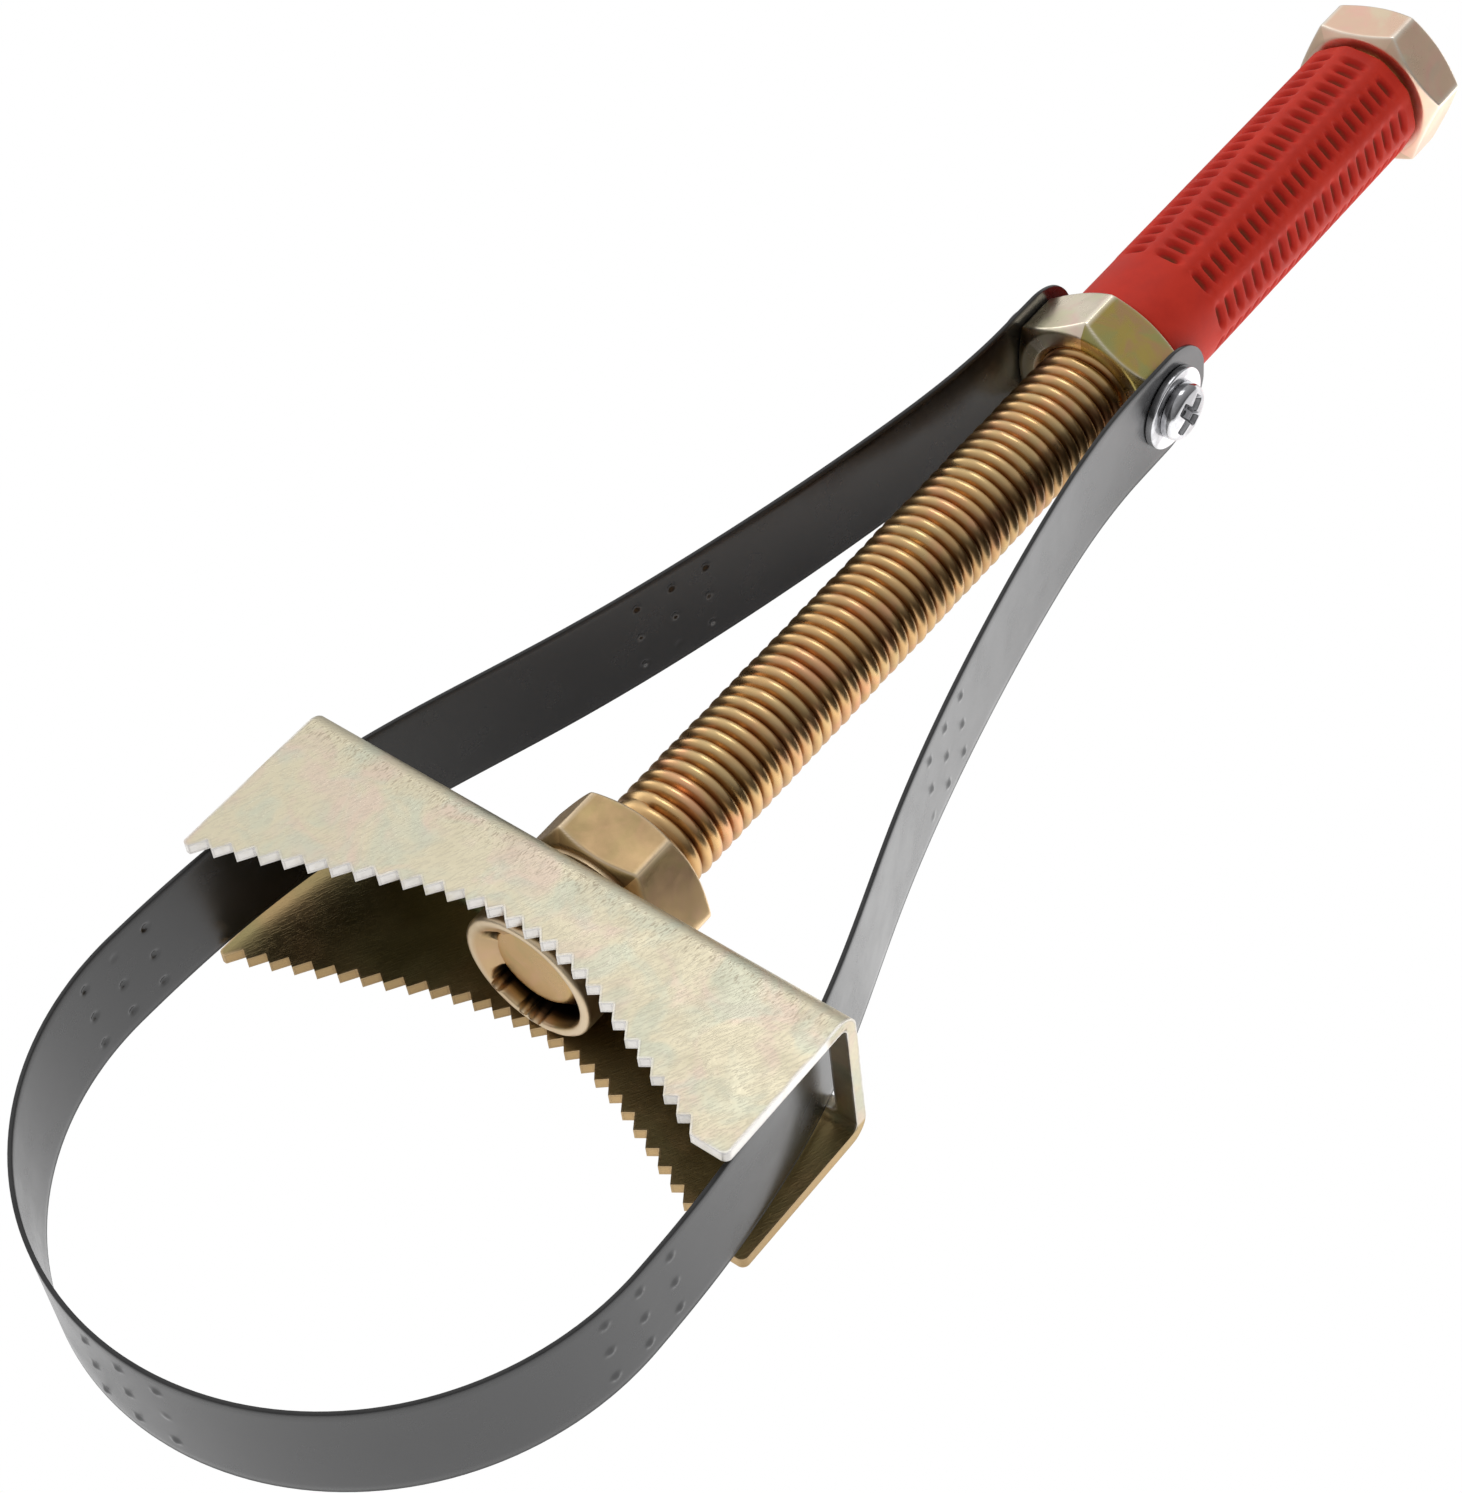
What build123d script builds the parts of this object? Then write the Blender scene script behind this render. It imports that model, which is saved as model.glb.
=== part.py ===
from build123d import *
from math import atan, cos, degrees, pi, radians, sin, sqrt, tan
import os

# Strap wrench for oil filters. A spring-steel band loops out of a toothed jaw and comes back through
# two slots to a nut that travels on a long threaded rod. Turning the grip turns the rod, the nut
# travels, and the loop closes on the filter.
#
# Frame: millimetres. X runs along the rod, from the loop towards the handle. Y runs along the jaw.
# Z is up, across the band's width. The origin is the loop's middle, where the filter's axis goes.
# The pieces are drawn with X counted from the jaw's back face, and save() moves them to the frame.

os.makedirs("parts", exist_ok=True)

# ---- clearances -----------------------------------------------------------------------------------
running_gap = 0.10      # rod in the jaw's hole, on the radius
nut_fit = 0.05          # nuts, cap and grip on the rod, on the radius
side_gap = 0.30         # between parts that turn or slide past each other's faces
cap_room = 0.30         # around the cap, inside the jaw
screw_tip_gap = 0.50    # between a screw's tip and the rod
contact_gap = 0.02      # between flat parts that are screwed together
screw_fit = 0.05        # screw in its tapped hole, on the radius

# ---- threaded rod ---------------------------------------------------------------------------------
rod_diameter = 12.0
thread_pitch = 1.75
rod_end_chamfer = 1.0
thread_run_out = 0.8    # plain rod between the shoulder nut and the first turn
exposed_thread = 82.0   # from the shoulder nut to the travelling nut

# ---- nuts -----------------------------------------------------------------------------------------
nut_flats = rod_diameter + 6.0
shoulder_nut_length = 7.5
washer_face_height = 0.6
collar_nut_length = 7.5
end_nut_length = 6.5
shoulder_nut_turn = 36.0    # degrees about the rod, from a corner pointing up
end_nut_turn = 17.6

# ---- retaining cap on the rod's front end -----------------------------------------------------------
cap_diameter = rod_diameter + 4.4
cap_length = 8.55
cap_recess_diameter = rod_diameter + 1.8
cap_recess_depth = 2.3
cap_edge_radius = 0.6
rod_stand_proud = 1.5   # how far the rod's end stands out of the recess floor
stake_diameter = 1.8    # punched notches that lock the cap on the rod
stake_count = 3

# ---- band -----------------------------------------------------------------------------------------
band_thickness = 0.5
band_width = 14.7
loop_radius = 34.7      # to the band's middle
loop_reach = 68.6       # from the jaw's back face to the front of the loop
slot_inset = 3.8        # how much nearer the rod the band is at the slots than at the loop
arm_curve = 1.55        # 1 is a straight arm, more is a more hollow one
arm_stations = 3        # places along each arm that shape the curve
tab_straight = 6.0      # flat length of band in front of each screw

# ---- jaw ------------------------------------------------------------------------------------------
sheet = 1.5
bend_inside_radius = 1.0
jaw_depth = 22.0
jaw_room = 1.4          # above and below the band, inside the jaw
jaw_end_margin = 0.05   # jaw past the band's outer face
slot_width = 3.0
slot_room = 0.45        # above and below the band, in the slots
tooth_pitch = 2.4
tooth_depth = 1.3
tooth_shift = 0.6       # the row of teeth starts this far from the middle
ramp_angle = 22.5       # degrees, each side of the tooth row
throat_radius = 37.0    # curve of the tooth row in the middle
throat_reach = 10.8     # from the jaw's back face to the teeth in the middle
end_land = 2.8          # plain edge next to one end of the jaw
flange_corner_radius = 0.8

# ---- screws and washers -----------------------------------------------------------------------------
screw_diameter = 4.0
screw_bite = (nut_flats - rod_diameter) / 2 - screw_tip_gap     # length of thread in the nut
head_diameter = 7.0
head_height = 2.0
head_round = 0.9
cross_length = 4.2
cross_width = 1.0
cross_depth = 1.2
washer_diameter = 10.2
washer_thickness = 1.0
washer_hole = screw_diameter + 0.4

# ---- grip -----------------------------------------------------------------------------------------
grip_wall = 2.1
grip_diameter = rod_diameter + 2 * grip_wall
grip_length = 53.1
grip_plain = 8.8        # smooth collar before the pockets start
grip_end_gap = 0.6      # between the grip and the end nut
pocket_rows = 10
pocket_pitch = 2.5
pocket_length = 1.25    # along the grip
pocket_width = 2.6      # around the grip
pocket_depth = 0.5
first_row = 3.0         # degrees, from straight up
grip_edge_radius = 0.7

# ---- places along the rod, worked out from the sizes above ------------------------------------------
rod_radius = rod_diameter / 2
shoulder_near = side_gap + washer_face_height
shoulder_far = shoulder_near + shoulder_nut_length
collar_near = shoulder_far + exposed_thread
collar_far = collar_near + collar_nut_length
screw_x = (collar_near + collar_far) / 2
grip_start = collar_far + side_gap
grip_end = grip_start + grip_length
end_nut_near = grip_end + grip_end_gap
end_nut_far = end_nut_near + end_nut_length
rod_back = end_nut_far - 0.4
cap_back = -sheet - side_gap
cap_front = cap_back - cap_length
rod_front = cap_front + cap_recess_depth - rod_stand_proud

# heights and offsets
flat_y = nut_flats / 2
band_y = flat_y + contact_gap + band_thickness / 2
slot_y = loop_radius - slot_inset
jaw_inside = max(band_width + 2 * jaw_room, cap_diameter + 2 * cap_room)
jaw_height = jaw_inside + 2 * sheet
jaw_half = loop_radius + band_thickness / 2 + jaw_end_margin

# where the jaw's back face is, counted from the loop's middle
jaw_place = loop_reach - loop_radius


def save(piece, name):
    """Writes one piece, moved so that the frame's origin is at the loop's middle."""
    export_step(Pos(jaw_place, 0, 0) * piece, "parts/" + name + ".step")


def thread_groove(start, end):
    """Right-hand V groove of the rod's thread, as a solid to cut away, between two places on X."""
    depth = 0.542 * thread_pitch
    root_half = thread_pitch / 8
    crest_half = root_half + depth * tan(radians(30))
    over = 0.15
    over_half = crest_half + over * tan(radians(30))
    path = Helix(pitch=thread_pitch, height=end - start, radius=rod_radius)
    profile_plane = Plane(origin=path @ 0, x_dir=(1, 0, 0), z_dir=path % 0)
    outline = Polyline(
        (over, over_half),
        (-depth, root_half),
        (-depth, -root_half),
        (over, -over_half),
        close=True,
    )
    profile = profile_plane * make_face(outline)
    groove = sweep(profile, path=Wire(path), is_frenet=True)
    return Pos(start, 0, 0) * (Rot(0, 90, 0) * groove)


def x_cylinder(radius, start, end):
    """Cylinder along X between two places."""
    body = Cylinder(radius, end - start, align=(Align.CENTER, Align.CENTER, Align.MIN))
    return Pos(start, 0, 0) * (Rot(0, 90, 0) * body)


def turned(points):
    """Solid of revolution about X from (x, radius) points."""
    outline = Polyline(*points, close=True)
    return revolve(make_face(outline), axis=Axis.X)


def hexagon_nut(start, length, turn):
    """Hexagon nut along X, chamfered at both ends, with a countersunk bore for the rod."""
    across = nut_flats / 2
    corner = nut_flats / sqrt(3)
    face_radius = 0.952 * across
    bevel = (corner - face_radius) * tan(radians(30))
    prism = extrude(RegularPolygon(radius=across, side_count=6, major_radius=False), length)
    prism = Rot(turn, 0, 0) * (Rot(0, 90, 0) * prism)
    barrel = turned([
        (0, 0),
        (0, face_radius),
        (bevel, corner),
        (length - bevel, corner),
        (length, face_radius),
        (length, 0),
    ])
    bore = rod_radius + nut_fit
    sink = 0.7
    opening = turned([
        (-1, 0),
        (-1, bore + sink),
        (0, bore + sink),
        (sink, bore),
        (length - sink, bore),
        (length, bore + sink),
        (length + 1, bore + sink),
        (length + 1, 0),
    ])
    return Pos(start, 0, 0) * ((prism & barrel) - opening)


def arm_offset(x):
    """Distance of a band arm's middle from the rod's axis at a place behind the jaw."""
    along = x / (screw_x - tab_straight)
    return band_y + (slot_y - band_y) * (1 - along) ** arm_curve


def tooth_line(y):
    """X of the tooth tips at a place along the jaw: two ramps joined by an arc."""
    tangent_y = throat_radius * sin(radians(ramp_angle))
    if abs(y) < tangent_y:
        return -throat_reach - throat_radius + sqrt(throat_radius**2 - y**2)
    tangent_x = -throat_reach - throat_radius * (1 - cos(radians(ramp_angle)))
    return tangent_x - tan(radians(ramp_angle)) * (abs(y) - tangent_y)


# ---- jaw: folded channel with two rows of teeth, two band slots and the rod's hole ---------------
outer_bend = sheet + bend_inside_radius
half_height = jaw_height / 2
section_outer = Pos(-jaw_depth / 2, 0, 0) * Rectangle(jaw_depth, jaw_height)
section_outer = fillet(section_outer.vertices().group_by(Axis.X)[-1], outer_bend)
inner_depth = jaw_depth - sheet
section_inner = Pos(-sheet - inner_depth / 2, 0, 0) * Rectangle(inner_depth, jaw_height - 2 * sheet)
section_inner = fillet(section_inner.vertices().group_by(Axis.X)[-1], bend_inside_radius)
channel_section = Plane.XZ * (section_outer - section_inner)
channel = extrude(channel_section, jaw_half, both=True)

# outline of everything in front of the teeth, point by point along the jaw
tooth_points = [(-jaw_depth - 5, jaw_half + 5)]
first_tooth = int((jaw_half - tooth_shift) / tooth_pitch)
last_tooth = -int((jaw_half - end_land + tooth_shift) / tooth_pitch)
tip_y = first_tooth * tooth_pitch + tooth_shift
tooth_points.append((tooth_line(tip_y), jaw_half + 5))
for index in range(first_tooth, last_tooth - 1, -1):
    tip_y = index * tooth_pitch + tooth_shift
    tooth_points.append((tooth_line(tip_y), tip_y))
    if index > last_tooth:
        root_y = tip_y - tooth_pitch / 2
        tooth_points.append((tooth_line(root_y) + tooth_depth, root_y))
tooth_points.append((tooth_line(tip_y), -jaw_half - 5))
tooth_points.append((-jaw_depth - 5, -jaw_half - 5))
clearing = extrude(make_face(Polyline(*tooth_points, close=True)), jaw_height, both=True)
jaw = channel - clearing
for side in (1, -1):
    slot_outline = Rectangle(slot_width, band_width + 2 * slot_room)
    slot_outline = fillet(slot_outline.vertices(), 0.8)
    slot = extrude(Plane.YZ * (Pos(side * slot_y, 0) * slot_outline), 10 * sheet, both=True)
    jaw = jaw - slot
jaw = jaw - x_cylinder(rod_radius + running_gap, -jaw_depth, 1)
narrow_land = jaw_half - first_tooth * tooth_pitch - tooth_shift
wide_land = jaw_half + last_tooth * tooth_pitch + tooth_shift
for side, land in ((1, narrow_land), (-1, wide_land)):
    front_corners = jaw.edges().filter_by(Axis.Z).filter_by(
        lambda edge: side * edge.center().Y > jaw_half - 0.01 and edge.center().X < -jaw_depth / 2
    )
    jaw = fillet(front_corners, min(flange_corner_radius, 0.6 * land))
save(jaw, "bracket_jaw")

# ---- band: round loop, two arms through the slots, and two round-ended tabs on the nut -----------
loop_x = loop_radius - loop_reach
tab_start = screw_x - tab_straight
left_points = [(loop_x, loop_radius), (-sheet / 2, slot_y)]
for station in range(1, arm_stations + 1):
    station_x = tab_start * station / (arm_stations + 1)
    left_points.append((station_x, arm_offset(station_x)))
left_points.append((tab_start, band_y))
left_arm = Spline(*left_points, tangents=((1, 0), (1, 0)))
right_points = [(x, -y) for x, y in left_points]
right_arm = Spline(*right_points, tangents=((1, 0), (1, 0)))
loop = ThreePointArc((loop_x, loop_radius), (-loop_reach, 0), (loop_x, -loop_radius))
band_path = Wire([left_arm.edge(), loop.edge(), right_arm.edge()])
path_start = band_path @ 0
path_way = band_path % 0
band_section = Plane(origin=path_start, x_dir=(0, 0, 1), z_dir=path_way) * Rectangle(
    band_width, band_thickness
)
band = sweep(band_section, path=band_path)
for side in (1, -1):
    tab = Pos((tab_start + screw_x) / 2, side * band_y, 0) * Box(
        tab_straight, band_thickness, band_width
    )
    tab_end = Pos(screw_x, side * band_y, 0) * (
        Rot(90, 0, 0) * Cylinder(band_width / 2, band_thickness)
    )
    screw_hole = Pos(screw_x, side * band_y, 0) * (
        Rot(90, 0, 0) * Cylinder(screw_diameter / 2 + side_gap, 4 * band_thickness)
    )
    band = band + tab + tab_end - screw_hole
save(band, "strap_band")

# ---- rod: right-hand thread on the exposed length, plain where it is hidden in the other parts ----
rod = turned([
    (rod_front, 0),
    (rod_front, rod_radius - rod_end_chamfer),
    (rod_front + rod_end_chamfer, rod_radius),
    (rod_back - rod_end_chamfer, rod_radius),
    (rod_back, rod_radius - rod_end_chamfer),
    (rod_back, 0),
])
rod = rod - thread_groove(shoulder_far + thread_run_out, grip_start + thread_pitch)
save(rod, "threaded_rod")

# ---- cap: round nut screwed and punched on the rod's front end; its back face holds the jaw ------
cap_radius = cap_diameter / 2
cap_bore = rod_radius + nut_fit
recess_floor = cap_front + cap_recess_depth
cap_outline = Polyline(
    (cap_front, cap_recess_diameter / 2),
    (cap_front, cap_radius),
    (cap_back, cap_radius),
    (cap_back, cap_bore),
    (recess_floor, cap_bore),
    (recess_floor, cap_recess_diameter / 2),
    close=True,
)
cap = revolve(make_face(cap_outline), axis=Axis.X)
cap = fillet(cap.edges().filter_by(GeomType.CIRCLE).filter_by(
    lambda edge: abs(edge.radius - cap_radius) < 0.01
), cap_edge_radius)
for index in range(stake_count):
    angle = 360 * index / stake_count
    notch = Pos(0, 0, cap_recess_diameter / 2) * x_cylinder(
        stake_diameter / 2, cap_front - 1, recess_floor + 0.6
    )
    cap = cap - Rot(angle, 0, 0) * notch
save(cap, "retaining_cap")

# ---- shoulder nut: locked on the rod behind the jaw; its round face pushes the jaw ---------------
shoulder_nut = hexagon_nut(shoulder_near, shoulder_nut_length, shoulder_nut_turn)
washer_face = x_cylinder(0.9 * nut_flats / 2, side_gap, shoulder_near + 0.5)
washer_face = washer_face - x_cylinder(rod_radius + nut_fit, 0, shoulder_near + 1)
shoulder_nut = shoulder_nut + washer_face
save(shoulder_nut, "shoulder_nut")

# ---- collar nut: travels on the rod; two of its flats carry the band's ends ----------------------
collar_nut = hexagon_nut(collar_near, collar_nut_length, 0)
for side in (1, -1):
    tapped_hole = Pos(screw_x, side * flat_y, 0) * (
        Rot(90, 0, 0) * Cylinder(screw_diameter / 2 + screw_fit, 2 * (flat_y - rod_radius) + 1)
    )
    collar_nut = collar_nut - tapped_hole
save(collar_nut, "collar_nut")

# ---- washers and screws that hold the band's ends ---------------------------------------------------
washer_inner_y = flat_y + 2 * contact_gap + band_thickness
head_inner_y = washer_inner_y + washer_thickness + contact_gap
for side, side_name in ((1, "left"), (-1, "right")):
    outwards = Rot(-90 * side, 0, 0)
    blank = Cylinder(
        washer_diameter / 2, washer_thickness, align=(Align.CENTER, Align.CENTER, Align.MIN)
    )
    washer = fillet(blank.edges().filter_by(GeomType.CIRCLE), 0.15)
    washer = washer - Cylinder(washer_hole / 2, 4 * washer_thickness)
    washer = Pos(screw_x, side * washer_inner_y, 0) * (outwards * washer)
    save(washer, "strap_washer_" + side_name)

    shank_length = head_inner_y - flat_y + screw_bite
    head = Cylinder(
        head_diameter / 2, head_height, align=(Align.CENTER, Align.CENTER, Align.MIN)
    )
    head = fillet(head.edges().group_by(Axis.Z)[-1], head_round)
    for turn in (35, 125):
        arm = Box(cross_length, cross_width, 2 * cross_depth)
        head = head - Pos(0, 0, head_height) * (Rot(0, 0, turn) * arm)
    shank = Cylinder(
        screw_diameter / 2, shank_length, align=(Align.CENTER, Align.CENTER, Align.MAX)
    )
    screw = Pos(screw_x, side * head_inner_y, 0) * (outwards * (head + shank))
    save(screw, "strap_screw_" + side_name)

# ---- grip: soft sleeve pushed on the rod, with rows of small pockets along it --------------------
grip_radius = grip_diameter / 2
sleeve = x_cylinder(grip_radius, grip_start, grip_end)
sleeve = fillet(sleeve.edges().filter_by(GeomType.CIRCLE), grip_edge_radius)
sleeve = sleeve - x_cylinder(rod_radius + nut_fit, grip_start - 1, grip_end + 1)
pocket_count = int((grip_length - grip_plain - pocket_length) / pocket_pitch)
pockets = []
for row in range(pocket_rows):
    row_angle = first_row + 360 * row / pocket_rows
    for index in range(pocket_count):
        pocket_x = grip_start + grip_plain + pocket_length / 2 + index * pocket_pitch
        pocket = Box(pocket_length, pocket_width, 2 * pocket_depth)
        pockets.append(Rot(row_angle, 0, 0) * (Pos(pocket_x, 0, grip_radius) * pocket))
grip = sleeve - pockets
save(grip, "grip_sleeve")

# ---- end nut: locks the grip on the rod and takes a spanner --------------------------------------
end_nut = hexagon_nut(end_nut_near, end_nut_length, end_nut_turn)
save(end_nut, "end_nut")

travel = screw_x - band_width / 2 - shoulder_far - side_gap
print("travel before the band's ends meet the shoulder nut", round(travel, 2), "mm")
print("length over all", round(end_nut_far + loop_reach + band_thickness / 2, 1), "mm")
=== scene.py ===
# %% [markdown]
# # An oil filter wrench
# A steel band loops round the filter and comes back through a toothed jaw to a nut. The nut
# travels on a long threaded rod, so turning the red grip closes or opens the loop.
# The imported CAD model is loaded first. It fixes every size and place: the looks built here
# take their positions from its boxes, and ride on its bodies.

# %% Load the fixed frame
import math

import bmesh
import bpy
import numpy as np
from mathutils import Matrix, Vector


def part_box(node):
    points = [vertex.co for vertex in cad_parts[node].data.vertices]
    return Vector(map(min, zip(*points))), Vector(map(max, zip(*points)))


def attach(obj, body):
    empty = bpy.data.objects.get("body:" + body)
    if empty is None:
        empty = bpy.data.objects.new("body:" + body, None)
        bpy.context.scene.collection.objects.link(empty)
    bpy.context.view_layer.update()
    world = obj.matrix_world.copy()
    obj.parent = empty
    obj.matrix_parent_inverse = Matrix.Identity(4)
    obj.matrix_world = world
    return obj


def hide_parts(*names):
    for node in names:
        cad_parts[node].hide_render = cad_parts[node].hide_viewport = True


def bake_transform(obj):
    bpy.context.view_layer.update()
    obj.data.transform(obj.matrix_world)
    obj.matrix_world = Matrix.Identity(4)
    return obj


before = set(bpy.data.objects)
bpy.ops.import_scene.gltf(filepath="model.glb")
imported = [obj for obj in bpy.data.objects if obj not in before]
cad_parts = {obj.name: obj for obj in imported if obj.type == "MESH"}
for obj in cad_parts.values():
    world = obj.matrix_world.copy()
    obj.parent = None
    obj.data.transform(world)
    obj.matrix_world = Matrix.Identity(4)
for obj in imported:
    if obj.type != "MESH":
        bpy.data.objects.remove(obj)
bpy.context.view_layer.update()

MM = 0.001

# %% [markdown]
# ## Places along the rod
# Everything on this tool sits on one axis, the rod's, which is X. The loop's middle is the
# origin. Each place is read from a CAD box, so that a change of size in the CAD moves the
# looks with it.

# %% Read the places
def span(node, axis=0):
    """Lowest and highest coordinate of a CAD node along one axis, in metres."""
    low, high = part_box(node)
    return low[axis], high[axis]


jaw_front, jaw_back = span("bracket_jaw")
cap_front, cap_back = span("retaining_cap")
shoulder_front, shoulder_back = span("shoulder_nut")
collar_front, collar_back = span("collar_nut")
grip_front, grip_back = span("grip_sleeve")
end_nut_front, end_nut_back = span("end_nut")
rod_front, rod_back = span("threaded_rod")
screw_x = sum(span("strap_screw_left")) / 2
rod_radius = 6 * MM
print("jaw back at", round(jaw_back / MM, 2), "mm, screws at", round(screw_x / MM, 2), "mm")

# %% [markdown]
# ## Turning arrays into pieces
# Every new piece is a grid of points worked out with numpy: rows run one way over the
# surface and columns the other. Quads join neighbours, and a closed direction joins its last
# line to its first. Doubles are merged, which closes seams and poles, and the sign of the
# enclosed volume says whether the faces have to be turned outwards.

# %% Grid helpers
def grid_faces(rows, columns, close_rows=False, close_columns=False):
    """Quads of a grid: each joins a point to the next in its row and in its column."""
    row = np.arange(rows if close_rows else rows - 1)
    column = np.arange(columns if close_columns else columns - 1)
    i, j = np.meshgrid(row, column, indexing="ij")
    i_next, j_next = (i + 1) % rows, (j + 1) % columns
    corners = (i * columns + j, i * columns + j_next, i_next * columns + j_next, i_next * columns + j)
    return np.stack(corners, axis=-1).reshape(-1, 4)


def make_piece(name, points, faces, masks=None, crease=35, merge=1e-7):
    """A closed mesh object from grid points, with smooth shading broken at creases."""
    mesh = bpy.data.meshes.new(name)
    mesh.from_pydata(points.reshape(-1, 3).tolist(), [], faces.tolist())
    for label, values in (masks or {}).items():
        layer = mesh.attributes.new(label, "FLOAT", "POINT")
        layer.data.foreach_set("value", values.astype(np.float32).ravel())
    work = bmesh.new()
    work.from_mesh(mesh)
    bmesh.ops.remove_doubles(work, verts=work.verts, dist=merge)
    if work.calc_volume(signed=True) < 0:
        bmesh.ops.reverse_faces(work, faces=work.faces)
    open_edges = sum(1 for edge in work.edges if not edge.is_manifold)
    work.to_mesh(mesh)
    work.free()
    mesh.shade_smooth()
    mesh.set_sharp_from_angle(angle=math.radians(crease))
    piece = bpy.data.objects.new(name, mesh)
    bpy.context.scene.collection.objects.link(piece)
    print(name, len(mesh.vertices), "points", len(mesh.polygons), "faces", open_edges, "open edges")
    return piece


def round_x(x, radius, angle):
    """Points round the rod's axis: angle 0 points up and grows as the rod turns forwards."""
    x, radius, angle = np.broadcast_arrays(x, radius, angle)
    return np.stack([x, -radius * np.sin(angle), radius * np.cos(angle)], axis=-1)


def smooth_step(low, high, value):
    """0 below low, 1 above high, and a smooth S between them."""
    t = np.clip((value - low) / (high - low), 0, 1)
    return t * t * (3 - 2 * t)


# %% [markdown]
# ## Camera
# The tool lies on a table and is seen from above, in front and to its right, with a long
# lens. The three directions below are the camera's own axes in the model's frame.

# %% Camera
camera_data = bpy.data.cameras.new("camera")
camera = bpy.data.objects.new("camera", camera_data)
bpy.context.scene.collection.objects.link(camera)
camera_right = Vector((0.61003, -0.78736, -0.08907))
camera_up = Vector((0.64090, 0.42419, 0.63977))
camera_back = camera_right.cross(camera_up)
camera.matrix_world = Matrix.Translation((-0.11762, -0.16890, 0.29063)) @ Matrix(
    (camera_right, camera_up, camera_back)).transposed().to_4x4()
camera_data.sensor_fit = "HORIZONTAL"
camera_data.sensor_width = 36
camera_data.lens = 87.52
camera_data.clip_start = 0.01
camera_data.clip_end = 20
bpy.context.scene.camera = camera
bpy.context.scene.view_settings.view_transform = "Standard"
print("camera at", [round(v, 3) for v in camera.location])

# %% [markdown]
# ## Shader nodes in one line
# Every finish below is a small graph of shader nodes. These helpers add one node each and
# hand back what it puts out, so that a graph reads like a formula.

# %% Shader helpers
def wire(tree, kind, inputs=None, **settings):
    """Adds a shader node, sets its properties, and links or sets its inputs by name or number."""
    node = tree.nodes.new(kind)
    for key, value in settings.items():
        setattr(node, key, value)
    for key, value in (inputs or {}).items():
        if isinstance(value, bpy.types.NodeSocket):
            tree.links.new(value, node.inputs[key])
        else:
            node.inputs[key].default_value = value
    return node


def new_material(name):
    """An empty node material and its tree."""
    material = bpy.data.materials.new(name)
    material.use_nodes = True
    material.node_tree.nodes.clear()
    return material, material.node_tree


def math_node(tree, how, a, b=0.5):
    """One arithmetic step."""
    return wire(tree, "ShaderNodeMath", {0: a, 1: b}, operation=how).outputs[0]


def times(tree, a, b):
    """Product of two values."""
    return math_node(tree, "MULTIPLY", a, b)


def rescale(tree, value, low, high, to_low=0.0, to_high=1.0, how="LINEAR"):
    """Maps a value's range to another, clamped, along a straight line or a smooth S."""
    return wire(tree, "ShaderNodeMapRange", {
        "Value": value, "From Min": low, "From Max": high, "To Min": to_low, "To Max": to_high},
        interpolation_type=how).outputs[0]


def blend_colors(tree, amount, first, second):
    """Mixes two colours by an amount."""
    return wire(tree, "ShaderNodeMix", {0: amount, 6: first, 7: second}, data_type="RGBA").outputs[2]


print("shader helpers ready")

# %% [markdown]
# ## Studio
# Plated metal shows what is around it, so the studio is most of its look. A pale floor fills
# the lower half of each reflection, large soft lights make the broad highlights, and a
# world that is bright overhead and greyer at the horizon gives the metal its contrast. The
# floor glows more on the tool's right, where the rod and the right arm mirror it, and the
# camera itself sees it as plain white paper.

# %% Floor, lights and world
floor_half = 4.0
floor_height = -0.0106
floor = make_piece("floor", np.array([
    (-floor_half, -floor_half, floor_height), (floor_half, -floor_half, floor_height),
    (floor_half, floor_half, floor_height), (-floor_half, floor_half, floor_height),
]), np.array([(0, 1, 2, 3)]))
floor_paint, tree = new_material("pale_floor")
ground = wire(tree, "ShaderNodeSeparateXYZ", {0: wire(tree, "ShaderNodeTexCoord").outputs["Object"]})
front_glow = 0.62
behind_jaw = rescale(tree, ground.outputs["X"], 0.0, 0.06, how="SMOOTHSTEP")
lit_side = rescale(tree, ground.outputs["Y"], 0.012, -0.019, 0.0, 1.22, "SMOOTHSTEP")
fall_off = rescale(tree, ground.outputs["Y"], -0.045, -0.09, 1.0, 0.45, "SMOOTHSTEP")
glow_level = wire(tree, "ShaderNodeMix", {
    0: behind_jaw, 2: front_glow, 3: times(tree, lit_side, fall_off)}, data_type="FLOAT")
paper = wire(tree, "ShaderNodeBsdfDiffuse", {"Color": (0.60, 0.60, 0.60, 1)})
glow = wire(tree, "ShaderNodeEmission", {"Color": (1, 1, 1, 1), "Strength": glow_level.outputs[0]})
shaded = wire(tree, "ShaderNodeAddShader", {0: paper.outputs[0], 1: glow.outputs[0]})
white = wire(tree, "ShaderNodeEmission", {"Color": (1, 1, 1, 1), "Strength": 1.0})
seen = wire(tree, "ShaderNodeLightPath").outputs["Is Camera Ray"]
both = wire(tree, "ShaderNodeMixShader", {0: seen, 1: shaded.outputs[0], 2: white.outputs[0]})
wire(tree, "ShaderNodeOutputMaterial", {"Surface": both.outputs[0]})
floor.data.materials.append(floor_paint)


def soft_light(name, place, aim, width, height, power):
    """A large rectangular light at a place, turned towards a point."""
    data = bpy.data.lights.new(name, "AREA")
    data.shape, data.size, data.size_y, data.energy = "RECTANGLE", width, height, power
    light = bpy.data.objects.new(name, data)
    bpy.context.scene.collection.objects.link(light)
    direction = Vector(aim) - Vector(place)
    light.location = place
    light.rotation_mode = "QUATERNION"
    light.rotation_quaternion = direction.to_track_quat("-Z", "Y")
    return light


middle = (0.06, 0, 0)
soft_light("top_light", (0.46, 0.17, 0.78), middle, 0.34, 0.34, 0.9)
soft_light("left_light", (0.20, 0.80, 0.30), middle, 0.5, 0.3, 0.5)

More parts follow.
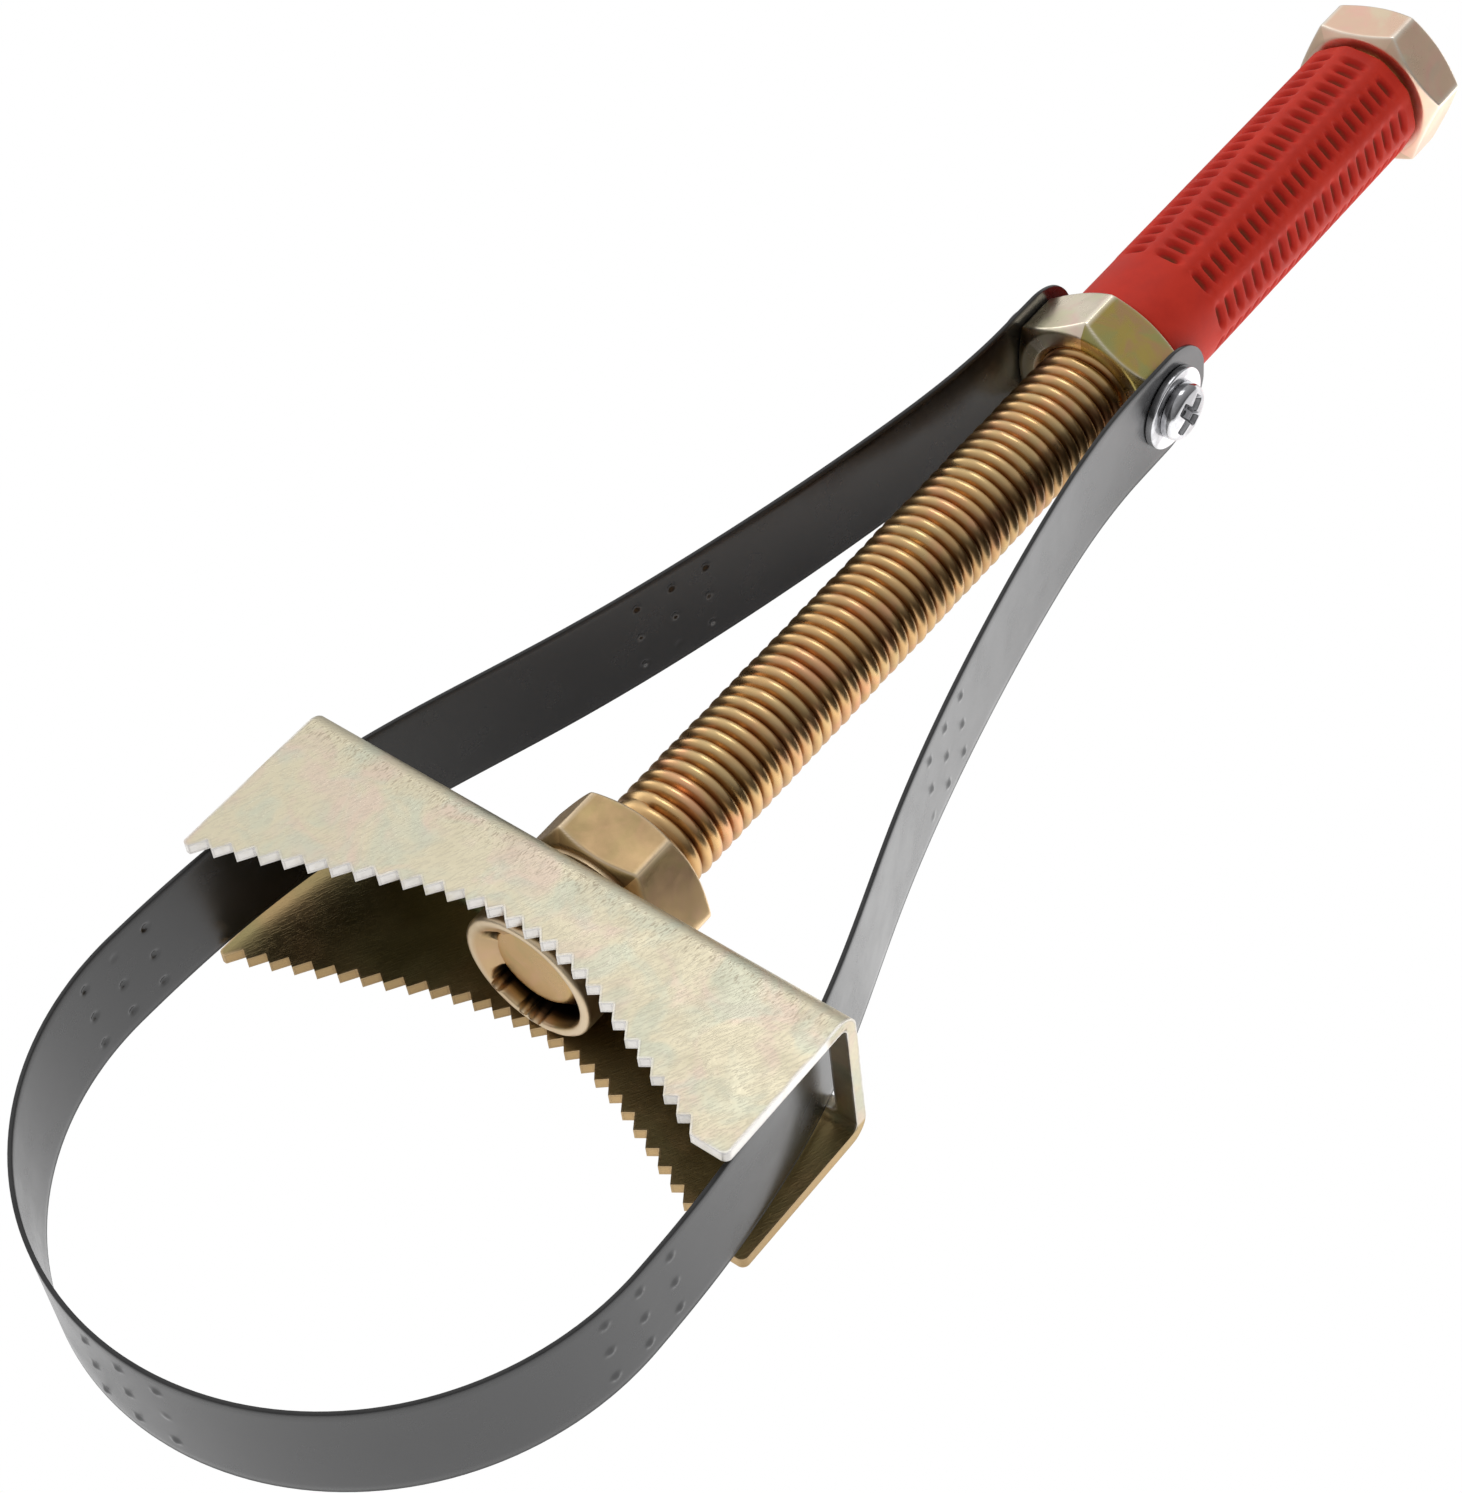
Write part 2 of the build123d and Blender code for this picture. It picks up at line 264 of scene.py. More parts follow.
world = bpy.data.worlds.new("studio")
bpy.context.scene.world = world
world.use_nodes = True
tree = world.node_tree
tree.nodes.clear()
direction = wire(tree, "ShaderNodeTexCoord")
bright_side = Vector((0.20, 0.70, 0.68)).normalized()
facing = wire(tree, "ShaderNodeVectorMath", {
    0: direction.outputs["Generated"], 1: bright_side}, operation="DOT_PRODUCT")
share = rescale(tree, facing.outputs["Value"], -1.0, 1.0)
sky = wire(tree, "ShaderNodeValToRGB", {"Fac": share})
sky.color_ramp.interpolation = "EASE"
for place, level in ((0.20, 0.17), (0.57, 0.48), (0.86, 0.73), (0.97, 0.86)):
    stop = sky.color_ramp.elements.new(place)
    stop.color = (level, level, level * 1.01, 1)
sky.color_ramp.elements.remove(sky.color_ramp.elements[0])
sky.color_ramp.elements.remove(sky.color_ramp.elements[-1])
studio_glow = wire(tree, "ShaderNodeBackground", {"Color": sky.outputs["Color"], "Strength": 1.0})
wire(tree, "ShaderNodeOutputWorld", {"Surface": studio_glow.outputs[0]})
print("two lights over a floor of", 2 * floor_half, "m")

# %% [markdown]
# ## Effects that several finishes share
# Yellow zinc plating is never one colour: a film thinner than light's wavelength drifts
# between pink, green and straw over a few millimetres. That drift, fine grain and short
# scratches are node groups, built once and set differently in each finish.

# %% Shared effects
def new_group(name, inputs, outputs):
    """A shader node group with named sockets: (kind, name, default) in and (kind, name) out."""
    group = bpy.data.node_groups.new(name, "ShaderNodeTree")
    for kind, label, value in inputs:
        socket = group.interface.new_socket(label, in_out="INPUT", socket_type=kind)
        if value is not None:
            socket.default_value = value
    for kind, label in outputs:
        group.interface.new_socket(label, in_out="OUTPUT", socket_type=kind)
    return group, group.nodes.new("NodeGroupInput"), group.nodes.new("NodeGroupOutput")


def use_group(tree, group, inputs=None):
    """Places a node group in a material and sets its inputs."""
    return wire(tree, "ShaderNodeGroup", inputs, node_tree=group)


FLOAT, COLOR, VECTOR = "NodeSocketFloat", "NodeSocketColor", "NodeSocketVector"

# plating film: two slow noises pull a middle colour towards two tints
film, film_in, film_out = new_group("plating_film", [
    (VECTOR, "Place", None), (FLOAT, "Scale", 120.0), (COLOR, "Base", (0.8, 0.7, 0.5, 1)),
    (COLOR, "Tint One", (0.8, 0.6, 0.5, 1)), (COLOR, "Tint Two", (0.6, 0.7, 0.5, 1)),
    (FLOAT, "Amount", 0.6),
], [(COLOR, "Color")])
drift = wire(film, "ShaderNodeTexNoise", {
    "Vector": film_in.outputs["Place"], "Scale": film_in.outputs["Scale"],
    "Detail": 3.0, "Roughness": 0.55, "Distortion": 0.6})
channels = wire(film, "ShaderNodeSeparateColor", {0: drift.outputs["Color"]})
color = film_in.outputs["Base"]
for channel, tint in enumerate(("Tint One", "Tint Two")):
    patch = rescale(film, channels.outputs[channel], 0.46, 0.66, how="SMOOTHSTEP")
    color = blend_colors(film, times(film, patch, film_in.outputs["Amount"]), color, film_in.outputs[tint])
film.links.new(color, film_out.inputs["Color"])

# grain: fine noise for bump, and a coarser one for smudges
grain, grain_in, grain_out = new_group("fine_grain", [
    (VECTOR, "Place", None), (FLOAT, "Scale", 3000.0)], [(FLOAT, "Height"), (FLOAT, "Smudge")])
fine = wire(grain, "ShaderNodeTexNoise", {
    "Vector": grain_in.outputs["Place"], "Scale": grain_in.outputs["Scale"], "Detail": 4.0})
coarse = wire(grain, "ShaderNodeTexNoise", {
    "Vector": grain_in.outputs["Place"], "Scale": times(grain, grain_in.outputs["Scale"], 0.08),
    "Detail": 5.0, "Roughness": 0.6})
grain.links.new(fine.outputs[0], grain_out.inputs["Height"])
grain.links.new(coarse.outputs[0], grain_out.inputs["Smudge"])

# scratches: a noise squeezed across the scratch and stretched along it, kept only at its peaks
scratch, scratch_in, scratch_out = new_group("short_scratches", [
    (VECTOR, "Place", None), (VECTOR, "Stretch", (1.0, 1.0, 1.0)), (FLOAT, "Turn", 0.0),
    (FLOAT, "Scale", 900.0), (FLOAT, "Sparse", 0.62)], [(FLOAT, "Mask")])
spin = wire(scratch, "ShaderNodeVectorRotate", {
    "Vector": scratch_in.outputs["Place"], "Angle": scratch_in.outputs["Turn"]}, rotation_type="Z_AXIS")
squeeze = wire(scratch, "ShaderNodeVectorMath", {
    0: spin.outputs[0], 1: scratch_in.outputs["Stretch"]}, operation="MULTIPLY")
streak = wire(scratch, "ShaderNodeTexNoise", {
    "Vector": squeeze.outputs[0], "Scale": scratch_in.outputs["Scale"], "Detail": 2.0, "Roughness": 0.5})
peak_low = scratch_in.outputs["Sparse"]
peaks = rescale(scratch, streak.outputs[0], peak_low, math_node(scratch, "ADD", peak_low, 0.1))
scratch.links.new(peaks, scratch_out.inputs["Mask"])
print("effects:", [g.name for g in bpy.data.node_groups])

# %% [markdown]
# ## The band
# One strip of blackened spring steel, half a millimetre thick: a round loop in front, two
# hollow arms through the jaw's slots, and two round-ended tabs on the nut. A section is
# carried along its path. Groups of nine small dents are punched outwards from the inside, so
# the grid's lines are drawn close together there and wide apart elsewhere.

# %% The band's path
band_thickness = 0.5 * MM
band_width = 14.7 * MM
loop_radius = span("strap_band", 1)[1] - band_thickness / 2
slot_y = loop_radius - 3.8 * MM
tab_y = 9.27 * MM
tab_start = screw_x - 6 * MM
tab_end = screw_x + band_width / 2
arm_power = 1.55


def clamped_spline(x_known, y_known, x):
    """Cubic curve through known points, level at both ends; its bends solve one linear system."""
    gap = np.diff(x_known)
    rise = np.diff(y_known) / gap
    count = len(x_known)
    system = np.zeros((count, count))
    right = np.zeros(count)
    inner = np.arange(1, count - 1)
    system[inner, inner - 1] = gap[:-1]
    system[inner, inner] = 2 * (gap[:-1] + gap[1:])
    system[inner, inner + 1] = gap[1:]
    right[inner] = 6 * np.diff(rise)
    system[0, 0], system[0, 1], right[0] = 2 * gap[0], gap[0], 6 * rise[0]
    system[-1, -1], system[-1, -2], right[-1] = 2 * gap[-1], gap[-1], -6 * rise[-1]
    bend = np.linalg.solve(system, right)
    k = np.clip(np.searchsorted(x_known, x) - 1, 0, count - 2)
    a, b = x_known[k + 1] - x, x - x_known[k]
    h = gap[k]
    return ((bend[k] * a**3 + bend[k + 1] * b**3) / (6 * h)
            + (y_known[k] / h - bend[k] * h / 6) * a + (y_known[k + 1] / h - bend[k + 1] * h / 6) * b)


def arm_offset(x):
    """Distance of an arm from the rod's axis: a power curve from the slot in to the tab."""
    along = (x - jaw_back) / (tab_start - jaw_back)
    return tab_y + (slot_y - tab_y) * (1 - along) ** arm_power


stations = jaw_back + (tab_start - jaw_back) * np.array([0.25, 0.5, 0.75])
known_x = np.concatenate([[0.0, jaw_back - 0.75 * MM], stations, [tab_start]])
known_y = np.concatenate([[loop_radius, slot_y], arm_offset(stations), [tab_y]])
turn = np.linspace(0, math.pi / 2, 400)[:-1]
arm_x = np.linspace(0, tab_start, 900)
half_x = np.concatenate([-loop_radius * np.cos(turn), arm_x, [tab_end]])
half_y = np.concatenate([loop_radius * np.sin(turn), clamped_spline(known_x, known_y, arm_x), [tab_y]])
half_s = np.concatenate([[0], np.cumsum(np.hypot(np.diff(half_x), np.diff(half_y)))])
band_half = half_s[-1]
print("band length", round(2 * band_half / MM, 1), "mm")


def band_path(s):
    """Middle line of the band at a signed length from the loop's front, and its outward direction."""
    side = np.where(s < 0, -1.0, 1.0)
    far = np.abs(s)
    step = 0.2 * MM
    x, y = np.interp(far, half_s, half_x), np.interp(far, half_s, half_y)
    before, after = np.clip(far - step, -step, None), np.clip(far + step, None, band_half)
    x0, y0 = (np.interp(np.abs(before), half_s, known) for known in (half_x, half_y))
    y0 = y0 * np.sign(before + 1e-12)
    x1, y1 = np.interp(after, half_s, half_x), np.interp(after, half_s, half_y)
    length = np.hypot(x1 - x0, y1 - y0)
    tangent_x, tangent_y = (x1 - x0) / length, (y1 - y0) / length
    return x, y * side, -tangent_y, tangent_x * side


# %% The band's dents and skin
dent_pitch = 4.7 * MM
dent_radius = 0.50 * MM
dent_height = 0.26 * MM
group_middles = np.array([-128.2, -54.0, 0.4, 54.0, 128.2]) * MM
dent_s = (group_middles[:, None] + dent_pitch * np.array([-1, 0, 1])).ravel()
dent_z = dent_pitch * np.array([-0.98, 0.0, 0.98])


def near_lines(places, reach, count):
    """Grid lines gathered round some places."""
    return (places[:, None] + np.linspace(-reach, reach, count)).ravel()


def dent_shape(s, z):
    """Outward push of all dents: a bell curve of the distance to each one's middle."""
    push = np.zeros_like(s)
    for index, middle in enumerate(dent_s):
        for row, level in enumerate(dent_z):
            worn = 0.35 if (index * 7 + row * 5) % 11 == 3 else 1.0
            far = ((s - middle) ** 2 + (z - level) ** 2) / dent_radius**2
            push += worn * dent_height * np.exp(-(far**1.4))
    return push


end_round = band_half - band_width / 2 * (1 - np.cos(np.linspace(0, math.pi / 2, 26)))
plain_s = np.arange(0, band_half - band_width / 2, 1.3 * MM)
dense_s = near_lines(dent_s, 1.0 * MM, 11)
band_s = np.unique(np.round(np.concatenate([plain_s, -plain_s, end_round, -end_round, dense_s]), 7))
edge_round = 0.16 * MM
flat_z = band_width / 2 - edge_round
across = np.unique(np.round(np.concatenate([
    np.linspace(-flat_z, flat_z, 13), near_lines(dent_z, 1.0 * MM, 11)]), 7))
bend = np.linspace(0, math.pi / 2, 4)[1:-1]
rim_z = flat_z + edge_round * np.sin(bend)
rim_in = edge_round * (1 - np.cos(bend))
half_t = band_thickness / 2
section_z = np.concatenate([across, rim_z, [flat_z + edge_round] * 2, rim_z[::-1],
                            across[::-1], -rim_z, [-flat_z - edge_round] * 2, -rim_z[::-1]])
section_t = np.concatenate([np.full(len(across), half_t), half_t - rim_in,
                            [half_t - edge_round, edge_round - half_t],
                            rim_in[::-1] - half_t, np.full(len(across), -half_t),
                            rim_in - half_t, [edge_round - half_t, half_t - edge_round], half_t - rim_in[::-1]])
S, Z = np.meshgrid(band_s, section_z, indexing="ij")
T = np.broadcast_to(section_t, S.shape)
path_x, path_y, out_x, out_y = band_path(band_s)
from_end = np.clip(band_half - np.abs(band_s), 0, band_width / 2)
width_share = np.sqrt(np.clip(1 - (1 - from_end / (band_width / 2)) ** 2, 0, 1))
width_share[[0, -1]] = 0
Z = Z * width_share[:, None]
offset = T * np.clip(width_share[:, None] * 6, 0, 1) + dent_shape(S, Z)
band_points = np.stack([path_x[:, None] + out_x[:, None] * offset,
                        path_y[:, None] + out_y[:, None] * offset, Z], axis=-1)
edge_mask = smooth_step(band_width / 2 - 0.5 * MM, band_width / 2 - 0.05 * MM, np.abs(Z))
strap = make_piece("steel_band", band_points,
                   grid_faces(*S.shape, close_columns=True), {"edge": edge_mask})
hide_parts("strap_band")
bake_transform(strap)

# %% [markdown]
# ## The jaw
# A channel folded from plated sheet. Its shape in the CAD is already right, and its teeth are
# plain saw cuts, so a copy is merged, its flat faces are joined, and a narrow bevel takes the
# sharpness off every edge, as stamping and plating do.

# %% The jaw from its CAD node
def carried_over(node, name, bevel, angle=30, segments=2):
    """A merged copy of a CAD node with its edges broken by a bevel."""
    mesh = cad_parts[node].data.copy()
    mesh.name = name
    work = bmesh.new()
    work.from_mesh(mesh)
    bmesh.ops.remove_doubles(work, verts=work.verts, dist=2e-6)
    bmesh.ops.dissolve_limit(work, angle_limit=0.02, verts=work.verts, edges=work.edges)
    work.to_mesh(mesh)
    work.free()
    mesh.materials.clear()
    mesh.shade_smooth()
    mesh.set_sharp_from_angle(angle=math.radians(angle))
    piece = bpy.data.objects.new(name, mesh)
    bpy.context.scene.collection.objects.link(piece)
    rounding = piece.modifiers.new("broken_edges", "BEVEL")
    rounding.width, rounding.segments = bevel, segments
    rounding.limit_method, rounding.angle_limit = "ANGLE", math.radians(angle)
    rounding.harden_normals = True
    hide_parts(node)
    print(name, len(mesh.polygons), "faces before the bevel")
    return piece


jaw = carried_over("bracket_jaw", "toothed_jaw", 0.21 * MM)
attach(jaw, "jaw")

# %% [markdown]
# ## The threaded rod
# The thread is a helical ridge whose crests are worn round. Rows of the grid follow the helix,
# each at one place on the thread's profile, so the ridge is even at any angle. A turn's last
# point meets the next turn's first. Beyond both ends the rows gather on one plain ring.

# %% The rod
pitch = 1.75 * MM
thread_depth = 0.80 * MM
wear_depth = 0.045 * MM
thread_start = shoulder_back + 0.5 * MM
thread_stop = grip_front + 1.5 * MM
profile_steps = 16
ridge_power = 2.3
flaw_x, flaw_angle = 2.4 * MM, math.radians(338)
rod_columns = 96
turns = int((thread_stop - thread_start) / pitch) + 2


def thread_radius(x, angle):
    """Rod radius: a broad rounded ridge with a narrow groove, fading out over a turn at each end
    and in one flaw near the shoulder nut. Slow waves wear the crests."""
    phase = (x - thread_start) / pitch - angle / (2 * math.pi)
    from_groove = np.abs((phase - np.floor(phase)) - 0.5) * 2
    ridge = 1 - (1 - from_groove) ** ridge_power
    fade = smooth_step(0, 1.3 * pitch, x - thread_start) * smooth_step(0, 0.8 * pitch, thread_stop - x)
    flaw = np.exp(-((x - thread_start - flaw_x) / (1.5 * MM)) ** 2 - ((angle - flaw_angle) / 0.42) ** 2)
    fade = fade * (1 - 0.85 * flaw)
    crest_wear = wear_depth * np.sin(3.1 * angle + 900 * x) * np.cos(1.7 * angle - 410 * x)
    return rod_radius - thread_depth * (1 - ridge) * fade + crest_wear * ridge * fade


rows = np.arange(-profile_steps, turns * profile_steps)
angles = np.arange(rod_columns) / rod_columns * 2 * math.pi
thread_x = thread_start + pitch * (rows[:, None] / profile_steps + angles / (2 * math.pi))
thread_x = np.clip(thread_x, thread_start, thread_stop)
thread_points = round_x(thread_x, thread_radius(thread_x, angles), angles)
inner_quads = grid_faces(len(rows), rod_columns)
seam_row = np.arange(len(rows) - 1 - profile_steps)
last = rod_columns - 1
seam_quads = np.stack([
    seam_row * rod_columns + last, (seam_row + profile_steps) * rod_columns,
    (seam_row + profile_steps + 1) * rod_columns, (seam_row + 1) * rod_columns + last], axis=-1)

# the rod's front end is hammered a little to one side, inside the cap
front_face = cap_front + 1.45 * MM
front_x = front_face + np.array([0.06, 0.02, 0.0, 0.03, 0.15, 0.5, 1.1, 1.6, 3.0, 5.0, 7.5]) * MM
front_r = np.array([0.0, 2.5, 4.4, 4.75, 4.95, 5.35, 5.95, 6.0, 6.0, 6.0, 6.0]) * MM
front_shift = smooth_step(2.6 * MM, 0.6 * MM, front_x - front_face)
front_points = round_x(front_x[:, None], front_r[:, None], angles)
front_points[..., 1] += 0.25 * MM * front_shift[:, None]
front_points[..., 2] += 0.15 * MM * front_shift[:, None]
front_join = round_x(np.array([[thread_start]]), np.array([[rod_radius]]), angles)
front_points = np.concatenate([front_points, front_join])
back_x = np.array([thread_stop, rod_back - 1.0 * MM, rod_back - 0.5 * MM, rod_back, rod_back, rod_back])
back_r = np.array([6.0, 6.0, 5.6, 5.0, 2.5, 0.0]) * MM
back_points = round_x(back_x[:, None], back_r[:, None], angles)
parts = [thread_points, front_points, back_points]
offsets = np.cumsum([0] + [p.shape[0] * p.shape[1] for p in parts])
rod_faces = np.concatenate([
    inner_quads, seam_quads,
    grid_faces(*front_points.shape[:2], close_columns=True) + offsets[1],
    grid_faces(*back_points.shape[:2], close_columns=True) + offsets[2]])
rod_points = np.concatenate([p.reshape(-1, 3) for p in parts])
# painted shade: a mask darkens the thread's grooves by their depth, and the rod's front chamfer inside the cap, where
# shadow falls
groove_share = (rod_radius - thread_radius(thread_x, angles)) / thread_depth
chamfer_shade = (front_r > 5.2 * MM).astype(float)[:, None] * np.ones((1, rod_columns))
plain_points = offsets[-1] - offsets[1] - chamfer_shade.size
groove = np.concatenate([groove_share.clip(0, 1).ravel() ** 0.8, chamfer_shade.ravel(), np.zeros(plain_points)])
in_cap = smooth_step(cap_back, cap_back - 2 * MM, rod_points[:, 0])
rod = make_piece("threaded_rod_m12", rod_points, rod_faces, {"groove": groove, "in_cap": in_cap}, crease=50)
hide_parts("threaded_rod")
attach(rod, "handle")

# %% [markdown]
# ## The nuts
# A nut's outside is the lesser of two radii at each angle and place: a hexagon's, and the
# cone's that chamfers both ends. Taking a softened least gives the curved chamfer line that
# every machined nut has, and rounds it. The skin goes on over the end faces and through the
# countersunk bore, so that it is closed.

# %% Nut surface
def hexagon_radius(angle, flats, crispness):
    """Half the flats over a power mean of the six face directions' cosines, which rounds the corners."""
    faces = np.radians(30 + 60 * np.arange(6))
    facing = np.clip(np.cos(angle[..., None] - faces), 1e-4, None)
    return flats / 2 / np.sum(facing**crispness, axis=-1) ** (1 / crispness)


def soft_least(a, b, width):
    """The smaller of two values, rounded over a width where they meet."""
    gap = np.abs(a - b) / width
    return np.minimum(a, b) - width * np.log1p(np.exp(-gap))


def corner_angles(steps, gather=0.86):
    """Angles round a hexagon, gathered near its corners."""
    t = np.arange(6 * steps) / steps
    return np.radians(60) * (t - gather * np.sin(2 * math.pi * t) / (2 * math.pi))


def hexagon_nut(name, front, back, turn, tones, crispness=70, washer_face=0.0, soft=0.07 * MM):
    """A closed nut skin along X. washer_face is the height of a round face in front of the hexagon.
    tones holds how much painted shade and reflection each of the six faces gets, more on the faces turned from the
    light."""
    flats, face_share = 18 * MM, 0.952
    start, length = front + washer_face, back - front - washer_face
    angle = corner_angles(26)
    corner = flats / math.sqrt(3)
    face_radius = face_share * flats / 2
    ends = np.concatenate([np.linspace(0, 0.14, 6), np.linspace(0.2, 1.3, 13)]) * MM
    along = np.concatenate([ends, np.linspace(1.6 * MM, length - 1.6 * MM, 8), length - ends[::-1]])
    hexagon = hexagon_radius(angle, flats, crispness)[None, :]
    nearest = np.minimum(along, length - along)[:, None]
    cone = face_radius + nearest / math.tan(math.radians(30))
    outside = soft_least(hexagon, cone, soft)
    edge_radius = 0.14 * MM
    from_edge = np.clip(edge_radius - nearest, 0, None)
    outside = outside - edge_radius + np.sqrt(np.clip(edge_radius**2 - from_edge**2, 0, None))
    bore, sink = rod_radius + 0.05 * MM, 0.7 * MM
    on_corner = smooth_step(1.115, 1.145, hexagon / (flats / 2)) * smooth_step(-0.3 * MM, 0.5 * MM, cone - hexagon)
    edge_wear = np.exp(-np.abs(hexagon - cone) / (0.18 * MM)) + on_corner
    # each ring that closes the skin: place, radius and wear
    rings = [(length, face_radius - 0.3 * MM, 0.5), (length, bore + sink + 0.15 * MM, 0.0),
             (length - 0.03 * MM, bore + sink, 0.6), (length - sink, bore, 0.0), (sink, bore, 0.0)]
    if washer_face:
        rings += [(-washer_face, bore, 0.0), (-washer_face, 0.88 * flats / 2, 0.0),
                  (-washer_face + 0.1 * MM, 0.9 * flats / 2, 0.6), (0.0, 0.9 * flats / 2, 0.0)]
    else:
        rings += [(0.03 * MM, bore + sink, 0.6), (0.0, bore + sink + 0.15 * MM, 0.0),
                  (0.0, face_radius - 0.3 * MM, 0.5)]
    one_row = np.ones((1, len(angle)))
    sides = (along[:, None] * one_row, outside, edge_wear)
    x, radius, wear = (np.concatenate([side, np.array(ring)[:, None] * one_row])
                       for side, ring in zip(sides, zip(*rings)))
    points = round_x(start + x, radius, angle[None, :] + math.radians(turn))
    # painted shade: each face gets its own share of the darker, shaded colour
    which_face = np.clip((angle / math.radians(60)).astype(int), 0, 5)
    tone = np.array(tones)[which_face][None, :] * np.ones_like(x)
    return make_piece(name, points, grid_faces(*x.shape, close_rows=True, close_columns=True),
                      {"edge": np.clip(wear, 0, 1), "tone": tone}, crease=28)


# tones: painted shade and reflection on each face, deeper on the faces turned from the light
shoulder = hexagon_nut("shoulder_nut_m12", shoulder_front, shoulder_back, 36, [0.0, 0.6, 0.8, 0.6, 0.7, 0.84],
                       washer_face=0.6 * MM, soft=0.10 * MM, crispness=45)
collar = hexagon_nut("collar_nut_m12", collar_front, collar_back, 0, [1.0, 0.4, 0.7, 0.5, 0.6, 0.0])
end_nut = hexagon_nut("end_nut_m12", end_nut_front, end_nut_back, 17.6, [0.3, 0.15, 0.6, 0.8, 0.4, 0.0])
for piece, node, body in ((shoulder, "shoulder_nut", "handle"), (collar, "collar_nut", "collar"),
                          (end_nut, "end_nut", "handle")):
    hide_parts(node)
    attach(piece, body)

# %% [markdown]
# ## The cap
# A round nut locks the jaw on the rod's front end. Its face is hollow, and a punch has pushed
# its inner wall into the rod at a few places. On one side the blows smeared metal from the rim
# over the rod's end and left a hole. The skin is turned round the rod. Its inner wall's
# radius grows in a bump at each punch mark, and changes to a second profile where it is smeared.

# %% The cap
cap_radius = span("retaining_cap", 1)[1]
punch_angles = np.radians([181.0, 194.0, 224.0])
punch_widths = np.radians([6.0, 4.0, 5.0])
punch_depths = np.array([0.9, 0.6, 0.8]) * MM
smear_angle, smear_half = math.radians(286), math.radians(54)
hole_angle, hole_radius, hole_depth, hole_size = math.radians(300), 5.4 * MM, 1.6 * MM, 0.85 * MM


def apart_from(angle, middle):
    """Distance between two directions, the short way round."""
    return np.abs((angle - middle + math.pi) % (2 * math.pi) - math.pi)


def punch_marks(angle):
    """How much further out the recess wall is at each angle: one bell curve for each mark."""
    apart = apart_from(angle[..., None], punch_angles)
    return np.sum(punch_depths * np.exp(-((apart / punch_widths) ** 4)), axis=-1)


cap_angle = np.arange(240) / 240 * 2 * math.pi
arc = np.linspace(0, math.pi / 2, 6)
# each row: depth behind the rim and radius as turned, the same two where smeared, and punch share
cap_rows = [(cap_back - cap_front, 6.05 * MM, cap_back - cap_front, 6.05 * MM, 0.0)]
for t in arc[::-1]:
    back_row = (cap_back - cap_front - 0.5 * MM * (1 - math.sin(t)), cap_radius - 0.5 * MM * (1 - math.cos(t)))
    cap_rows.append((*back_row, *back_row, 0.0))
for t in arc:
    front_row = (0.6 * MM * (1 - math.sin(t)), cap_radius - 0.6 * MM * (1 - math.cos(t)))
    cap_rows.append((*front_row, *front_row, 0.0))
for depth, radius, smear_depth, smear_radius, punch in (
        (0.0, 7.45, 0.02, 7.40, 0.25), (0.02, 7.2, 0.08, 7.1, 0.6), (0.12, 7.02, 0.2, 6.8, 1.0),
        (0.35, 6.92, 0.35, 6.5, 1.0), (0.9, 6.88, 0.6, 6.2, 1.0), (1.5, 6.86, 0.85, 5.9, 0.95),
        (2.1, 6.84, 1.1, 5.6, 0.9), (3.4, 6.8, 1.3, 5.3, 0.5), (3.6, 6.5, 1.42, 5.0, 0.1),
        (3.62, 6.1, 1.5, 4.8, 0.0), (3.8, 6.05, 3.8, 6.05, 0.0)):
    cap_rows.append((depth * MM, radius * MM, smear_depth * MM, smear_radius * MM, punch))
plain_x, plain_r, smear_x, smear_r, punch_share = (np.array(values)[:, None] for values in zip(*cap_rows))
smear = smooth_step(smear_half, 0.78 * smear_half, apart_from(cap_angle, smear_angle))[None, :]
cap_r = plain_r + (smear_r - plain_r) * smear + punch_share * punch_marks(cap_angle)[None, :] * (1 - smear)
hole_far = np.hypot(cap_r - hole_radius, hole_radius * apart_from(cap_angle, hole_angle)[None, :]) / hole_size
outside_rows = 1 + 2 * len(arc)
in_front = (np.arange(len(cap_rows)) >= outside_rows)[:, None]
cap_x = cap_front + plain_x + (smear_x - plain_x) * smear + hole_depth * np.exp(-(hole_far**4)) * in_front
cap_points = round_x(cap_x, cap_r, cap_angle[None, :])
rim_wear = np.exp(-(((cap_x - cap_front) / (0.5 * MM)) ** 2)) * smooth_step(6.9 * MM, 7.3 * MM, cap_r)
# painted shade: the deep gap between the rod's end and the recess wall, and the punched hole, are painted near black
in_gap = smooth_step(0.9 * MM, 1.7 * MM, cap_x - cap_front) * (1 - smear)
shade = np.maximum(in_gap, np.exp(-((0.82 * hole_far) ** 8))) * in_front
cap = make_piece("retaining_cap_round", cap_points,
                 grid_faces(*cap_x.shape, close_rows=True, close_columns=True),
                 {"edge": rim_wear, "tone": shade}, crease=40)
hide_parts("retaining_cap")
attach(cap, "handle")

# %% [markdown]
# ## Screws and washers
# A pan-head screw and a flat washer hold each end of the band. The head is a dome with a
# cross pressed in: the cross is two smooth troughs at right angles, deepest in the middle.

# %% Screws and washers
head_radius, head_height = 3.5 * MM, 2.0 * MM
washer_radius = span("strap_washer_left", 2)[1]
washer_bore, shank_radius = 2.22 * MM, 2 * MM


def cross_recess(radius, angle, turn):
    """Depth of the cross at a place on the head: the deeper of two tapered troughs."""
    along = radius * np.cos(angle - turn)
    beside = radius * np.sin(angle - turn)

    def trough(a, b):
        wall = smooth_step(0.92 * MM, 0.45 * MM, np.abs(b))
        reach = smooth_step(2.7 * MM, 2.0 * MM, np.abs(a))
        return wall * reach * (1.25 * MM - 0.25 * np.abs(a))

    centre = 1.35 * MM * smooth_step(1.15 * MM, 0.5 * MM, radius)
    return np.maximum(np.maximum(trough(along, beside), trough(beside, along)), centre)


def pointing_out(side, x, height, radius, angle):
    """Points of a part turned about the screw's axis, which points out from the nut to one side."""
    x_place = x + radius * np.cos(angle) * side
    return np.stack([x_place, side * height * np.ones_like(angle), radius * np.sin(angle)], axis=-1)


